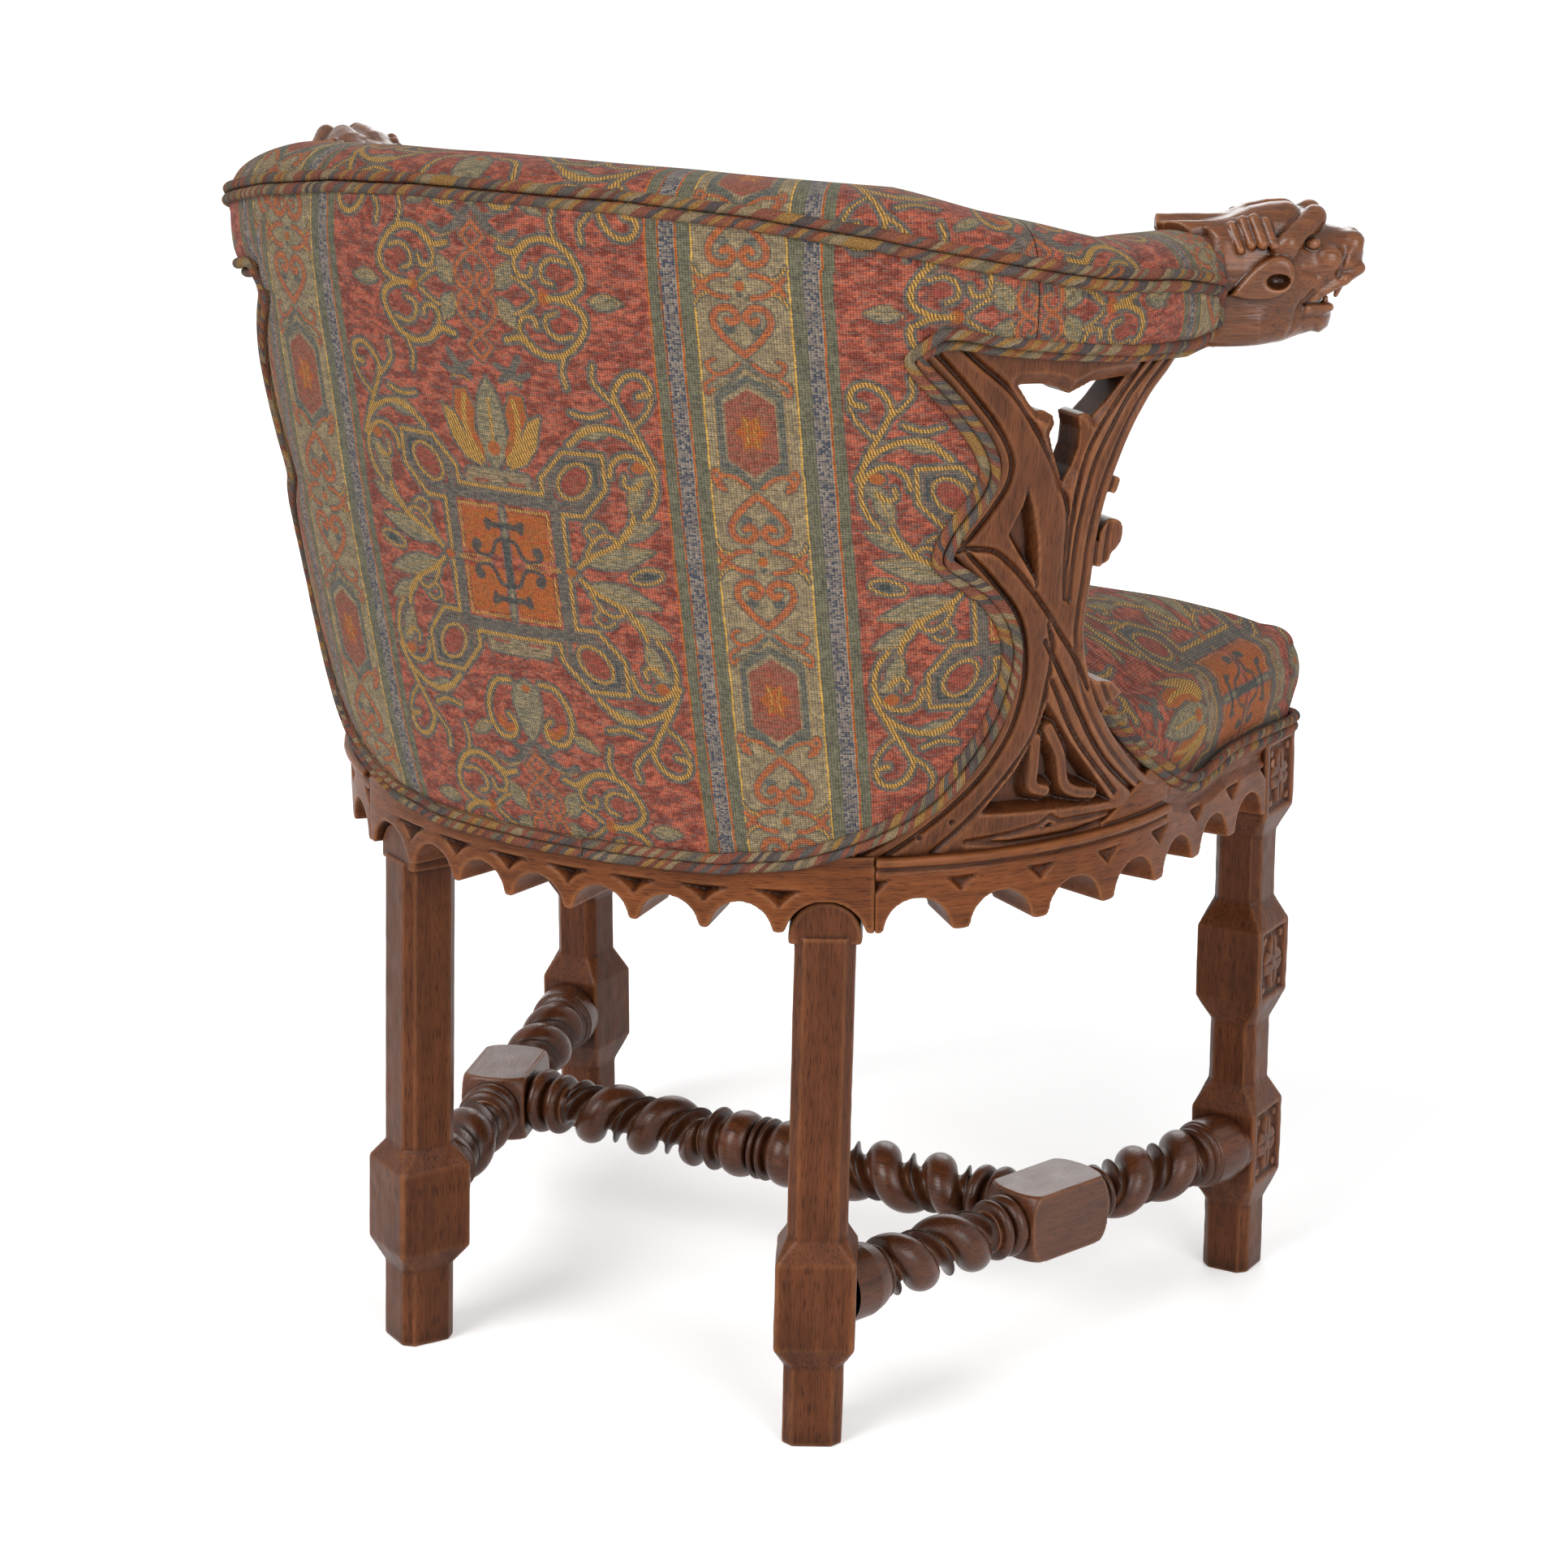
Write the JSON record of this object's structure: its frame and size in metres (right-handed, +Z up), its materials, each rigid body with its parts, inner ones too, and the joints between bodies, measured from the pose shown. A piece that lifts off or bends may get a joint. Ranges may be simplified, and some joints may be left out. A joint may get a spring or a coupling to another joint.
{
  "type": "armchair",
  "caption": "Gothic revival tub armchair: carved dark oak with pierced side panels, rope twist stretchers, beast head arms and a patterned woven cover",
  "frame": {"origin": "middle of the footprint box on the floor", "axes": "+Z up, the sitter faces -Y, the sitter's right is -X"},
  "size_m": [0.8264, 0.534, 0.848],
  "materials": {
    "oak": "satin",
    "frame_wood": "matte",
    "fabric": "matte",
    "canvas": "matte"
  },
  "bodies": {
    "root": {"back_webbing": "canvas", "corner_blocks": "frame_wood", "crest_rail": "frame_wood", "cross_stretcher": "oak", "front_seat_rail": "oak", "head_dowels": "frame_wood", "inner_back_pad": "fabric", "left_arm_pad": "fabric", "left_arm_rail": "frame_wood", "left_back_post": "frame_wood", "left_beast_head": "oak", "left_front_leg": "oak", "left_rear_leg": "oak", "left_seat_rail": "oak", "left_side_stretcher": "oak", "left_tracery_panel": "oak", "lower_back_rail": "frame_wood", "outer_back_cover": "fabric", "rail_dowels": "frame_wood", "rear_seat_rail": "oak", "right_arm_pad": "fabric", "right_arm_rail": "frame_wood", "right_back_post": "frame_wood", "right_beast_head": "oak", "right_front_leg": "oak", "right_rear_leg": "oak", "right_seat_rail": "oak", "right_side_stretcher": "oak", "right_tracery_panel": "oak", "seat_hessian": "canvas", "seat_pad": "fabric", "seat_webbing": "canvas", "tenon_pegs": "frame_wood", "top_roll": "fabric"}
  },
  "joints": []
}
